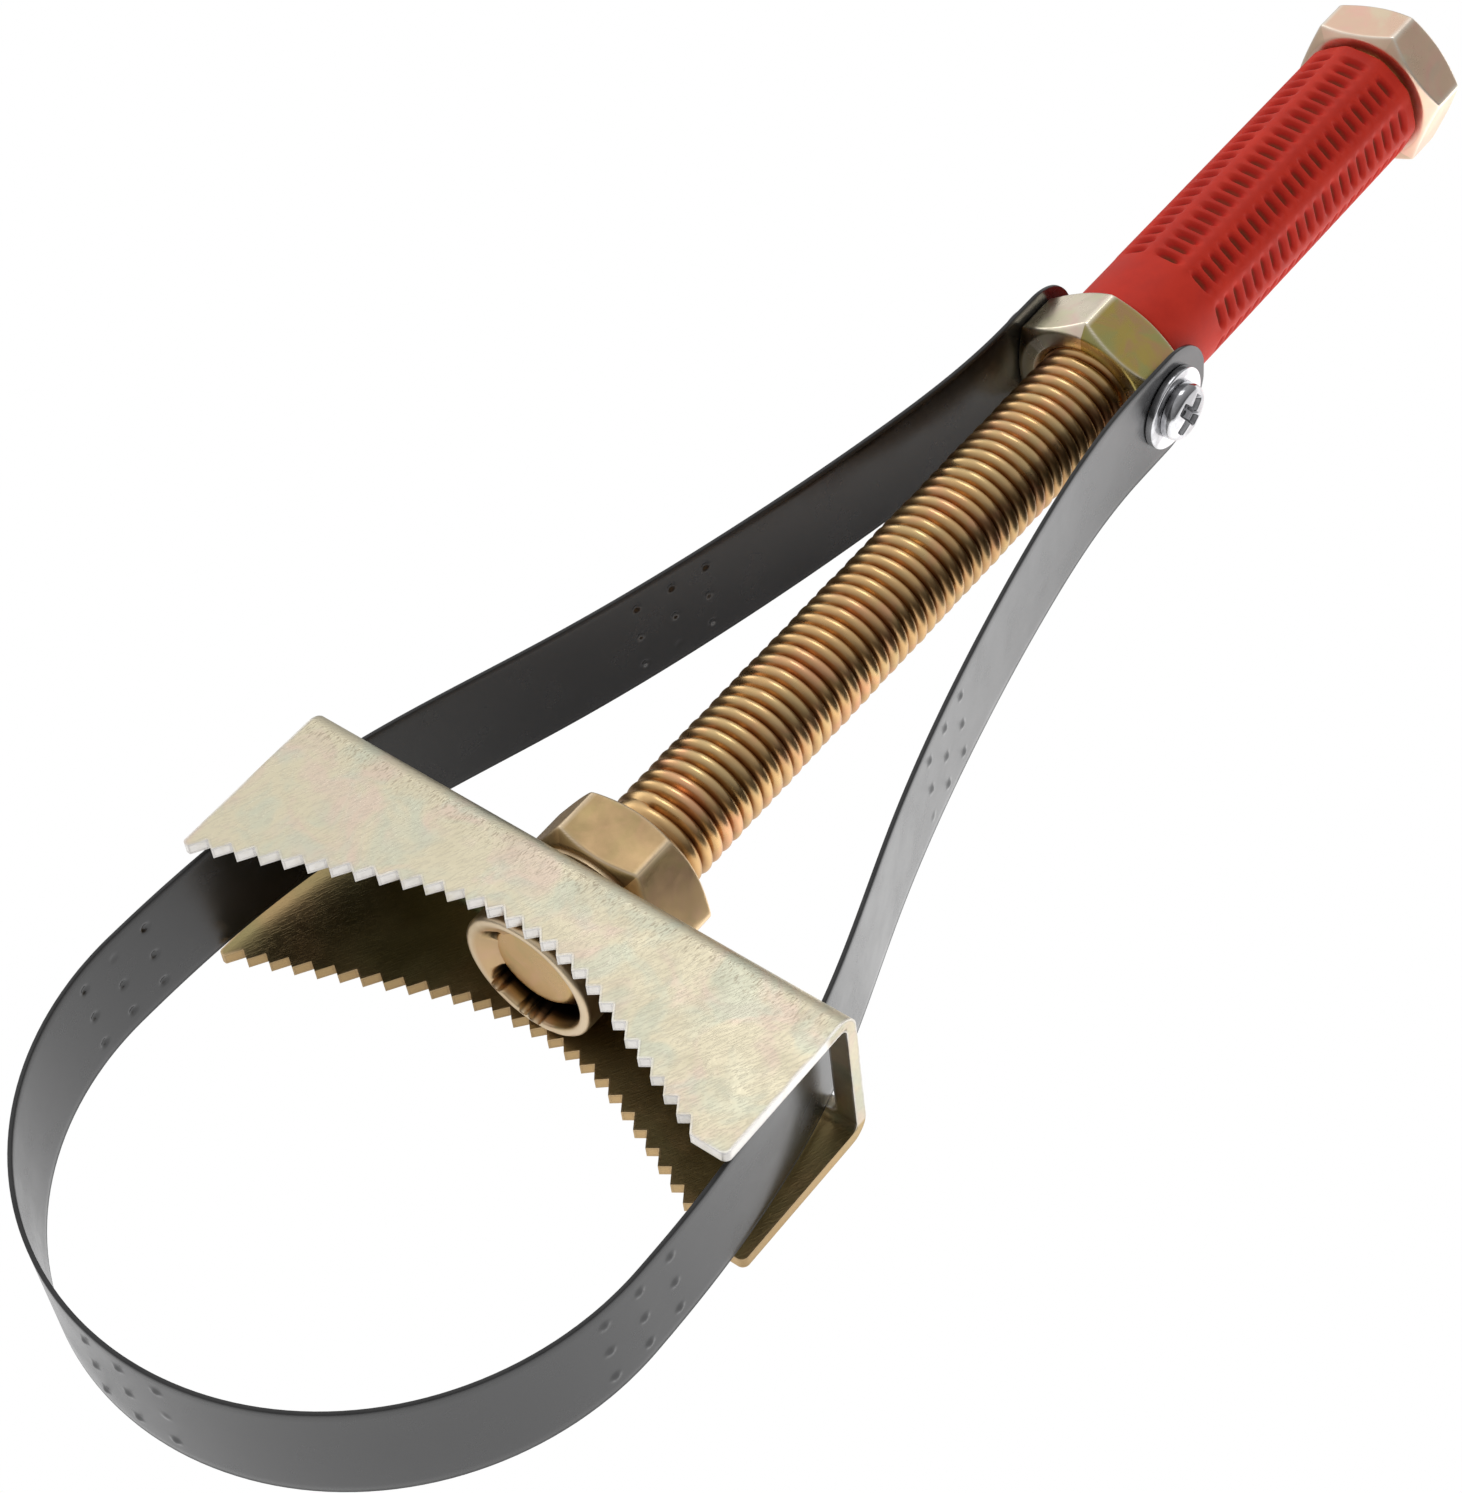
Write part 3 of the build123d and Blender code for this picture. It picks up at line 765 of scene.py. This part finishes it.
def strap_screw(name, side, node, turn):
    """Screw skin: rows go from the head's middle over the dome, under the head, and down the shank."""
    outer = max(abs(v) for v in span(node, 1))
    inner = min(abs(v) for v in span(node, 1))
    under = outer - head_height
    angle = np.arange(144) / 144 * 2 * math.pi
    flat_radius, dome_drop, shoulder_round = 2.75 * MM, 0.22 * MM, head_radius - 2.75 * MM
    flat = np.concatenate([[0.0], np.linspace(0.2 * MM, flat_radius, 34)])
    arc = np.linspace(0, math.pi / 2, 9)[1:]
    radius = np.concatenate([flat, flat_radius + shoulder_round * np.sin(arc),
                             [head_radius, head_radius - 0.08 * MM, shank_radius, shank_radius,
                              shank_radius - 0.2 * MM, 0.0]])
    dome = outer - dome_drop * (flat / flat_radius) ** 2
    level = np.concatenate([dome, outer - dome_drop - 0.95 * MM * (1 - np.cos(arc)),
                            [under + 0.1 * MM, under, under, inner + 0.3 * MM, inner, inner]])
    R, A = np.meshgrid(radius, angle, indexing="ij")
    H = np.broadcast_to(level[:, None], R.shape).copy()
    on_top = (np.arange(len(radius)) < len(flat) + 3)[:, None]
    pressed = np.where(on_top, cross_recess(R, A, turn), 0.0)
    H -= pressed
    piece = make_piece(name, pointing_out(side, screw_x, H, R, A), grid_faces(*R.shape, close_columns=True),
                       {"recess": pressed / (1.35 * MM)}, crease=40)
    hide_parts(node)
    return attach(piece, "collar")


def strap_washer(name, side, node):
    """Washer skin: a rounded rectangle turned about the screw's axis."""
    low, high = sorted(abs(v) for v in span(node, 1))
    angle = np.arange(128) / 128 * 2 * math.pi
    edge = 0.18 * MM
    arc = np.linspace(0, math.pi / 2, 5)
    radius = np.concatenate([[washer_bore, washer_bore + 0.13 * MM], washer_radius - edge + edge * np.sin(arc),
                             washer_radius - edge + edge * np.cos(arc), [washer_bore]])
    level = np.concatenate([[high - 0.1 * MM, high], high - edge + edge * np.cos(arc),
                            low + edge - edge * np.sin(arc), [low]])
    R, A = np.meshgrid(radius, angle, indexing="ij")
    H = np.broadcast_to(level[:, None], R.shape)
    piece = make_piece(name, pointing_out(side, screw_x, H, R, A),
                       grid_faces(*R.shape, close_rows=True, close_columns=True), crease=40)
    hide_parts(node)
    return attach(piece, "collar")


screws = [strap_screw("screw_left", 1, "strap_screw_left", 0.6),
          strap_screw("screw_right", -1, "strap_screw_right", 0.95)]
washers = [strap_washer("washer_left", 1, "strap_washer_left"),
           strap_washer("washer_right", -1, "strap_washer_right")]

# %% [markdown]
# ## The grip
# A soft sleeve moulded over the rod: a smooth collar, then ten smooth ribs along it with a row
# of small cross pockets between each two. Grid lines stand close together at the walls of the
# pockets and wide apart elsewhere.

# %% The grip
grip_radius = span("grip_sleeve", 1)[1]
pocket_rows, pocket_pitch, first_row = 10, 1.93 * MM, math.radians(3.0)
pockets_from = grip_front + 8.8 * MM
pocket_count = int((grip_back - pockets_from - 1.0 * MM) / pocket_pitch)
pocket_half = 0.70 * MM
row_half = math.radians(14.0)
pocket_depth, channel_depth, collar_depth = 0.60 * MM, 0.20 * MM, 0.10 * MM


def grip_depth(x, angle):
    """How far the sleeve is pressed in, and how much painted shade it gets: shallow channels, with pockets cut
    deeper along each. A pocket's outline is where the sum of two cubes, of the shares of its
    half width and half length, is one. The painted shade is deeper in the pockets than in the channels, and deepest
    towards a pocket's front end."""
    half_step = math.pi / pocket_rows
    from_row = np.abs((angle - first_row + half_step) % (2 * half_step) - half_step)
    in_channel = smooth_step(1.26 * row_half, 0.4 * row_half, from_row)
    place = (x - pockets_from) / pocket_pitch
    from_pocket = np.abs(place - np.floor(place) - 0.5) * pocket_pitch
    far = ((from_row / row_half) ** 3 + (from_pocket / pocket_half) ** 3) ** (1 / 3)
    patterned = (x > pockets_from) & (x < pockets_from + pocket_count * pocket_pitch)
    entry = smooth_step(-0.6 * MM, 0.6 * MM, x - pockets_from)
    pocket = smooth_step(1.15, 0.35, far) * patterned
    # painted shade: deeper in each pocket, most towards its front end, and lighter in the channels
    lean = np.clip(0.5 + (np.floor(place) + 0.5 - place) * 1.6, 0, 1)
    pocket_shade = np.maximum(pocket * (0.62 + 0.38 * lean), 0.30 * entry * in_channel)
    channel = entry * in_channel * channel_depth + (1 - entry) * collar_depth
    return channel + pocket_depth * pocket, pocket_shade


unit = np.array([-0.92, -0.78, -0.66, -0.54, -0.40, -0.20, 0.0, 0.20, 0.40, 0.54, 0.66, 0.78]) * MM
pocket_x = (pockets_from + pocket_pitch * (np.arange(pocket_count)[:, None] + 0.5) + unit[None, :]).ravel()
edge = 0.7 * MM
arc = np.linspace(0, math.pi / 2, 6)
lead_x = np.concatenate([grip_front + edge * (1 - np.cos(arc)),
                         np.linspace(grip_front + 1.5 * MM, pockets_from - 0.7 * MM, 9)])
tail_x = np.concatenate([[pockets_from + pocket_count * pocket_pitch],
                         grip_back - edge * (1 - np.cos(arc[::-1]))])
outer_x = np.unique(np.round(np.concatenate([lead_x, pocket_x, tail_x]), 8))
step = 2 * math.pi / pocket_rows
unit_angle = row_half * np.array([-1.28, -1.20, -1.10, -1.0, -0.9, -0.8, -0.7, -0.55, -0.3,
                                  0.0, 0.3, 0.55, 0.7, 0.8, 0.9, 1.0, 1.10, 1.20])
grip_angle = (first_row + step * np.arange(pocket_rows)[:, None] + unit_angle[None, :]).ravel()
X, A = np.meshgrid(outer_x, grip_angle, indexing="ij")
depth, pocket_shade_mask = grip_depth(X, A)
from_tip = np.minimum(X - grip_front, grip_back - X)
end_curve = edge - np.sqrt(np.clip(edge**2 - np.clip(edge - from_tip, 0, None) ** 2, 0, None))
outer_r = grip_radius - depth - end_curve
inner = rod_radius + 0.05 * MM
rings_x = np.array([grip_back, grip_back, grip_front, grip_front])
rings_r = np.array([inner + 0.3 * MM, inner, inner, inner + 0.3 * MM])
ring = np.ones((1, len(grip_angle)))
all_x = np.concatenate([X, rings_x[:, None] * ring])
all_r = np.concatenate([outer_r, rings_r[:, None] * ring])
all_pocket = np.concatenate([pocket_shade_mask, np.zeros((4, len(grip_angle)))])
grip = make_piece("red_grip_sleeve", round_x(all_x, all_r, grip_angle[None, :]),
                  grid_faces(*all_x.shape, close_rows=True, close_columns=True), {"pocket": all_pocket}, crease=60)
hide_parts("grip_sleeve")
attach(grip, "handle")

# %% [markdown]
# ## Yellow zinc on the sheet
# The jaw's plating is pale straw, almost silver, with faint pink and green patches. The lower
# flange, which lies in the channel's shade, is painted deeper gold as painted shade and
# reflection, and the hollow inside of the channel is painted dark brown as painted shade. Along
# its edges runs a thin dark line, brighter, ragged wear shows where the plating is thin, and the
# cut faces of the teeth are nearly bare. A Bevel node's normal differs from the surface's
# only near an edge, so their difference is the edge mask.

# %% Sheet finish
def start_finish(name, grain_scale):
    """A new material, its tree, the piece's own coordinates in metres, and the grain's two outputs."""
    material, tree = new_material(name)
    place = wire(tree, "ShaderNodeTexCoord").outputs["Object"]
    specks = use_group(tree, grain, {"Place": place, "Scale": grain_scale})
    return material, tree, place, specks.outputs["Height"], specks.outputs["Smudge"]


def finish(material, tree, color, roughness, normal, metal=1.0, **rest):
    """Makes the surface from a colour, a roughness and a bump, and connects it to the output."""
    shader = wire(tree, "ShaderNodeBsdfPrincipled", {
        "Base Color": color, "Metallic": metal, "Roughness": roughness, "Normal": normal, **rest})
    wire(tree, "ShaderNodeOutputMaterial", {"Surface": shader.outputs[0]})
    return material


def mask_of(tree, label):
    """A piece's own mask, stored on its points."""
    return wire(tree, "ShaderNodeAttribute", attribute_name=label).outputs["Fac"]


def bumped(tree, height, strength, distance, **under):
    """A bump from a height, over another one if it is given as Normal."""
    return wire(tree, "ShaderNodeBump", {
        "Height": height, "Strength": strength, "Distance": distance, **under}).outputs[0]


sheet_finish, tree, place, fine_height, smudge = start_finish("sheet_plating", 2600.0)
axes = wire(tree, "ShaderNodeSeparateXYZ", {0: place})
back, up = axes.outputs["X"], axes.outputs["Z"]

# the straw film with fine drawing lines, short dashes near the fold, and painted shade: the lower flange painted
# deeper gold
mottle = use_group(tree, film, {
    "Place": place, "Scale": 170.0, "Base": (0.66, 0.60, 0.44, 1), "Tint One": (0.68, 0.54, 0.45, 1),
    "Tint Two": (0.56, 0.58, 0.46, 1), "Amount": 0.7})
lines = use_group(tree, scratch, {
    "Place": place, "Stretch": (0.16, 1.0, 1.0), "Turn": 0.45, "Scale": 4800.0, "Sparse": 0.50})
dashes = use_group(tree, scratch, {
    "Place": place, "Stretch": (0.28, 1.0, 1.0), "Turn": 0.1, "Scale": 5200.0, "Sparse": 0.54})
near_bend = times(tree, rescale(tree, back, jaw_back - 6.0 * MM, jaw_back - 2.4 * MM),
                  rescale(tree, back, jaw_back - 1.8 * MM, jaw_back - 2.1 * MM))
# painted shade and reflection: this mask paints the lower flange deeper gold, and gives its cut faces, dark line and
# wear darker golden versions
shaded_lower_flange = rescale(tree, up, -8.2 * MM, -8.6 * MM)
skin = blend_colors(tree, times(tree, lines.outputs["Mask"], 0.22), mottle.outputs["Color"], (0.44, 0.40, 0.33, 1))
skin = blend_colors(tree, times(tree, near_bend, times(tree, dashes.outputs["Mask"], 0.60)),
                    skin, (0.30, 0.24, 0.17, 1))
skin = blend_colors(tree, shaded_lower_flange, skin, (0.50, 0.36, 0.17, 1))

# painted shade: the inside of the channel is painted dark brown, with drifting tints
shaded_channel_color = use_group(tree, film, {
    "Place": place, "Scale": 75.0, "Base": (0.135, 0.128, 0.060, 1), "Tint One": (0.36, 0.22, 0.11, 1),
    "Tint Two": (0.13, 0.17, 0.075, 1), "Amount": 0.9})
inside_channel_shade = times(tree, rescale(tree, math_node(tree, "ABSOLUTE", up), 8.85 * MM, 8.65 * MM),
               rescale(tree, back, jaw_back - 1.35 * MM, jaw_back - 1.6 * MM))
skin = blend_colors(tree, inside_channel_shade, skin, shaded_channel_color.outputs["Color"])

# cut faces of the teeth: their normals lie flat, and they stand in front of the web
surface = wire(tree, "ShaderNodeNewGeometry").outputs["Normal"]
upright = math_node(tree, "ABSOLUTE", wire(tree, "ShaderNodeSeparateXYZ", {0: surface}).outputs["Z"])
cut = times(tree, rescale(tree, upright, 0.6, 0.2), rescale(tree, back, 30 * MM, 29 * MM))
cut = times(tree, cut, rescale(tree, smudge, 0.3, 0.5, 0.35, 1.0))
skin = blend_colors(tree, cut, skin, blend_colors(tree, shaded_lower_flange, (0.94, 0.91, 0.87, 1), (0.56, 0.39, 0.19, 1)))

# the dark outline and the ragged bright wear along every edge
rounded = wire(tree, "ShaderNodeBevel", {"Radius": 0.5 * MM}, samples=4)
same = wire(tree, "ShaderNodeVectorMath", {
    0: rounded.outputs[0], 1: surface}, operation="DOT_PRODUCT").outputs["Value"]
outline = times(tree, rescale(tree, same, 0.998, 0.985), rescale(tree, smudge, 0.35, 0.6, 0.15, 0.85))
skin = blend_colors(tree, outline, skin, blend_colors(tree, shaded_lower_flange, (0.24, 0.225, 0.22, 1), (0.20, 0.13, 0.07, 1)))
ragged = times(tree, rescale(tree, smudge, 0.38, 0.58), rescale(tree, same, 0.985, 0.90))
worn_tone = blend_colors(tree, shaded_lower_flange, (0.88, 0.86, 0.83, 1), (0.62, 0.46, 0.26, 1))
relief = math_node(tree, "ADD", fine_height, lines.outputs["Mask"])
jaw.data.materials.append(finish(
    sheet_finish, tree, blend_colors(tree, ragged, skin, worn_tone),
    rescale(tree, smudge, 0.3, 0.7, 0.34, 0.50), bumped(tree, relief, 0.4, 0.03 * MM)))
print("jaw finish has", len(tree.nodes), "nodes")

# %% [markdown]
# ## Yellow zinc on the rod, the nuts and the cap
# The turned parts are deeper gold than the sheet, and no two are alike: the rod is orange, the
# collar nut pale cream, the end nut pink, the shoulder nut and the cap brown. One function
# makes all five. Its first mask leads to painted shade in the rod's grooves and to wear on the
# nuts' and the cap's edges. Its second leads to a deeper film on the rod inside the cap, and to
# painted shade and reflection on some of a nut's faces and in the cap's gap and hole.

# %% Gold finishes
def gold_finish(name, tones, scale, roughness, mask, masked, second_mask, second_tones, wavy):
    """A plated finish: a drifting film, fine grain, waves, and two masks that lead to other colours.
    tones and second_tones each hold a middle colour and its two tints."""
    material, tree, place, fine_height, smudge = start_finish(name, 2400.0)

    def drifting(colors, size, amount):
        return use_group(tree, film, {"Place": place, "Scale": size, "Base": colors[0], "Tint One": colors[1],
                                      "Tint Two": colors[2], "Amount": amount}).outputs["Color"]

    waves = wire(tree, "ShaderNodeTexNoise", {"Vector": place, "Scale": 420.0, "Detail": 1.0})
    uneven = bumped(tree, waves.outputs[0], wavy, 0.5 * MM)
    color = blend_colors(tree, mask_of(tree, second_mask),
                         drifting(tones, scale, 0.7), drifting(second_tones, 1.7 * scale, 0.8))
    patchy = times(tree, mask_of(tree, mask), rescale(tree, smudge, 0.3, 0.6, 0.55, 1.0))
    return finish(material, tree, blend_colors(tree, patchy, color, masked),
                  rescale(tree, smudge, 0.3, 0.7, *roughness),
                  bumped(tree, fine_height, 0.25, 0.02 * MM, Normal=uneven))


for piece, *look in (
        (rod, "thread_plating",
         [(0.745, 0.485, 0.225, 1), (0.82, 0.42, 0.24, 1), (0.67, 0.50, 0.245, 1)], 170.0, (0.24, 0.38),
         # painted shade: the thread's grooves and front chamfer are painted dark brown
         "groove", (0.26, 0.105, 0.033, 1),
         "in_cap", [(0.66, 0.43, 0.19, 1), (0.70, 0.44, 0.23, 1), (0.58, 0.42, 0.17, 1)], 0.05),
        (collar, "nut_plating",
         [(1.0, 0.89, 0.70, 1), (1.0, 0.74, 0.62, 1), (0.90, 0.88, 0.58, 1)], 150.0, (0.22, 0.36),
         "edge", (0.98, 0.90, 0.74, 1),
         # painted shade and reflection: the collar nut's faces turned from the light are painted olive
         "tone", [(0.50, 0.38, 0.11, 1), (0.52, 0.31, 0.17, 1), (0.40, 0.39, 0.15, 1)], 0.06),
        (end_nut, "pink_plating",
         [(0.87, 0.61, 0.45, 1), (0.94, 0.56, 0.46, 1), (0.84, 0.73, 0.52, 1)], 160.0, (0.26, 0.42),
         "edge", (0.97, 0.90, 0.78, 1),
         # painted shade and reflection: the end nut's faces turned from the light are painted darker
         "tone", [(0.62, 0.50, 0.33, 1), (0.62, 0.40, 0.28, 1), (0.44, 0.43, 0.30, 1)], 0.08),
        (shoulder, "brown_plating",
         [(0.98, 0.70, 0.38, 1), (0.96, 0.64, 0.40, 1), (0.86, 0.66, 0.32, 1)], 170.0, (0.34, 0.52),
         "edge", (0.82, 0.67, 0.47, 1),
         # painted shade and reflection: the shoulder nut's faces are painted dark brown by face
         "tone", [(0.24, 0.16, 0.08, 1), (0.28, 0.17, 0.095, 1), (0.20, 0.15, 0.065, 1)], 0.12),
        (cap, "cap_plating",
         [(0.66, 0.46, 0.25, 1), (0.68, 0.45, 0.28, 1), (0.56, 0.43, 0.20, 1)], 170.0, (0.30, 0.44),
         "edge", (0.82, 0.67, 0.47, 1),
         # painted shade: the cap's gap and hole are painted near black
         "tone", [(0.020, 0.014, 0.009, 1), (0.040, 0.025, 0.014, 1), (0.014, 0.011, 0.008, 1)], 0.14)):
    piece.data.materials.append(gold_finish(*look))
print("five gold finishes")

# %% [markdown]
# ## Blackened band, bright zinc and red grip
# The band is dark oxide under a thin oil film, so it is nearly black with a high refractive
# index, which gives it the oil's shine. Its edges are rougher. The screws are plain bright
# zinc, with painted shade in their cross recesses. The grip is satin plastic, with painted
# shade and reflection in its pockets and channels.

# %% Band finish
band_finish, tree, place, fine_height, smudge = start_finish("band_oxide", 2200.0)
at_edge = mask_of(tree, "edge")
oxide = blend_colors(tree, rescale(tree, smudge, 0.35, 0.65), (0.006, 0.006, 0.007, 1), (0.012, 0.012, 0.013, 1))
oxide = blend_colors(tree, times(tree, at_edge, 0.9), oxide, (0.004, 0.004, 0.004, 1))
dull = math_node(tree, "ADD", rescale(tree, at_edge, 0.5, 1.0, 0.0, 0.5), rescale(tree, smudge, 0.3, 0.7, 0.20, 0.30))
strap.data.materials.append(finish(
    band_finish, tree, oxide, dull, bumped(tree, fine_height, 0.15, 0.02 * MM), metal=0.0, IOR=1.8))
print("band finish has", len(tree.nodes), "nodes")

# %% Screw finish
bright_finish, tree, place, fine_height, smudge = start_finish("screw_plating", 1800.0)
silver = blend_colors(tree, rescale(tree, smudge, 0.40, 0.60), (0.34, 0.34, 0.35, 1), (0.78, 0.78, 0.80, 1))
# painted shade: the cross recess is painted near black by its depth
cross_shade = rescale(tree, mask_of(tree, "recess"), 0.1, 0.7, 0.0, 0.9)
finish(bright_finish, tree, blend_colors(tree, cross_shade, silver, (0.06, 0.06, 0.065, 1)),
       rescale(tree, smudge, 0.3, 0.7, 0.10, 0.24), bumped(tree, smudge, 0.35, 0.2 * MM))
for piece in screws + washers:
    piece.data.materials.append(bright_finish)
print("screws and washers share one finish of", len(tree.nodes), "nodes")

# %% Grip finish
grip_finish, tree, place, fine_height, smudge = start_finish("grip_rubber", 2600.0)
pocket_shade_share = mask_of(tree, "pocket")
red = blend_colors(tree, rescale(tree, smudge, 0.35, 0.65), (0.54, 0.024, 0.010, 1), (0.64, 0.034, 0.015, 1))
# painted shade and reflection: channels and pocket walls are painted deeper red, pocket floors brown
red = blend_colors(tree, rescale(tree, pocket_shade_share, 0.20, 0.60), red, (0.45, 0.010, 0.005, 1))
pocket_floor_shade = times(tree, rescale(tree, pocket_shade_share, 0.50, 0.85), rescale(tree, smudge, 0.3, 0.6, 0.5, 0.95))
dull = math_node(tree, "ADD", rescale(tree, pocket_shade_share, 0.2, 0.8, 0.0, 0.35),
                 rescale(tree, smudge, 0.3, 0.7, 0.46, 0.60))
grip.data.materials.append(finish(
    grip_finish, tree, blend_colors(tree, pocket_floor_shade, red, (0.12, 0.036, 0.014, 1)), dull,
    bumped(tree, fine_height, 0.2, 0.04 * MM), metal=0.0, **{"Specular IOR Level": 0.20}))
print("finishes:", [m.name for m in bpy.data.materials])
